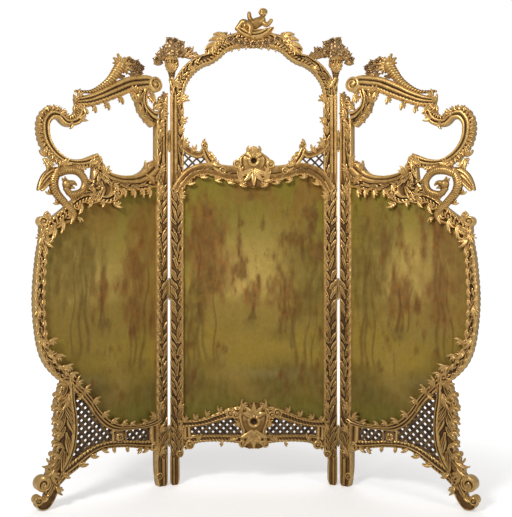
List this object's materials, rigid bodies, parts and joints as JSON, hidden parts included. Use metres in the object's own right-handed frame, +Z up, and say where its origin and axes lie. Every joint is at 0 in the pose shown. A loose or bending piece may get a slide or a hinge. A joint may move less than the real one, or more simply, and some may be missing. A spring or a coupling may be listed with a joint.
{
  "type": "folding screen",
  "caption": "Three-fold giltwood floor screen: arched centre panel and two shaped leaves on vertical hinges, painted canvases, pierced lattice, carved scroll frames and splayed scroll feet.",
  "frame": {"origin": "middle of the footprint, on the floor", "axes": "+X to the right seen from the front, +Y from front to back, +Z up"},
  "size_m": [1.6548, 0.3867, 1.956],
  "materials": {
    "gilt_wood": "antique water gilding, worn, dark in the recesses",
    "dark_gilding": "brown patinated gilding",
    "lattice_wood": "gilt over dark brown",
    "painted_canvas": "oil on canvas, satin varnish",
    "back_board": "stained softwood",
    "hinge_brass": "tarnished",
    "pin_brass": "polished ball tips"
  },
  "bodies": {
    "centre_panel": {"centre_apron_rail": "gilt_wood", "centre_back_board": "back_board", "centre_base_cartouche": "gilt_wood", "centre_base_rail": "gilt_wood", "centre_canvas": "painted_canvas", "centre_crest_rail": "gilt_wood", "centre_left_base_lattice": "lattice_wood", "centre_left_flower_basket": "dark_gilding", "centre_left_mid_lattice": "lattice_wood", "centre_left_mid_scroll": "gilt_wood", "centre_left_stile": "gilt_wood", "centre_mid_cartouche": "gilt_wood", "centre_mid_rail": "gilt_wood", "centre_right_base_lattice": "lattice_wood", "centre_right_flower_basket": "dark_gilding", "centre_right_mid_lattice": "lattice_wood", "centre_right_mid_scroll": "gilt_wood", "centre_right_stile": "gilt_wood", "crest_drapery_shell": "gilt_wood", "crest_flower_garland": "dark_gilding", "crest_putto": "gilt_wood", "left_fixed_hinges": "hinge_brass", "left_hinge_pins": "pin_brass", "right_fixed_hinges": "hinge_brass", "right_hinge_pins": "pin_brass"},
    "left_leaf": {"left_leaf_back_board": "back_board", "left_leaf_bottom_rail": "gilt_wood", "left_leaf_canvas": "painted_canvas", "left_leaf_corner_scroll": "gilt_wood", "left_leaf_crest_rail": "gilt_wood", "left_leaf_crest_trophy": "dark_gilding", "left_leaf_griffin": "gilt_wood", "left_leaf_inner_stile": "gilt_wood", "left_leaf_large_lattice": "lattice_wood", "left_leaf_loop_scroll": "gilt_wood", "left_leaf_mid_rail": "gilt_wood", "left_leaf_outer_stile": "gilt_wood", "left_leaf_rosette_block": "gilt_wood", "left_leaf_small_lattice": "lattice_wood", "left_leaf_splayed_leg": "gilt_wood", "left_leaf_sweep_rail": "gilt_wood", "left_moving_hinges": "hinge_brass"},
    "right_leaf": {"right_leaf_back_board": "back_board", "right_leaf_bottom_rail": "gilt_wood", "right_leaf_canvas": "painted_canvas", "right_leaf_corner_scroll": "gilt_wood", "right_leaf_crest_rail": "gilt_wood", "right_leaf_crest_trophy": "dark_gilding", "right_leaf_griffin": "gilt_wood", "right_leaf_inner_stile": "gilt_wood", "right_leaf_large_lattice": "lattice_wood", "right_leaf_loop_scroll": "gilt_wood", "right_leaf_mid_rail": "gilt_wood", "right_leaf_outer_stile": "gilt_wood", "right_leaf_rosette_block": "gilt_wood", "right_leaf_small_lattice": "lattice_wood", "right_leaf_splayed_leg": "gilt_wood", "right_leaf_sweep_rail": "gilt_wood", "right_moving_hinges": "hinge_brass"}
  },
  "joints": [
    {"name": "right_leaf_hinge", "type": "hinge", "parent": "centre_panel", "child": "right_leaf", "pos_m": [0.3465, 0.15378, 0.804], "axis": [0, 0, -1], "range_deg": [-36.5, 73.5]},
    {"name": "left_leaf_hinge", "type": "hinge", "parent": "centre_panel", "child": "left_leaf", "pos_m": [-0.3465, 0.15378, 0.804], "axis": [0, 0, 1], "range_deg": [-36.5, 73.5]}
  ]
}
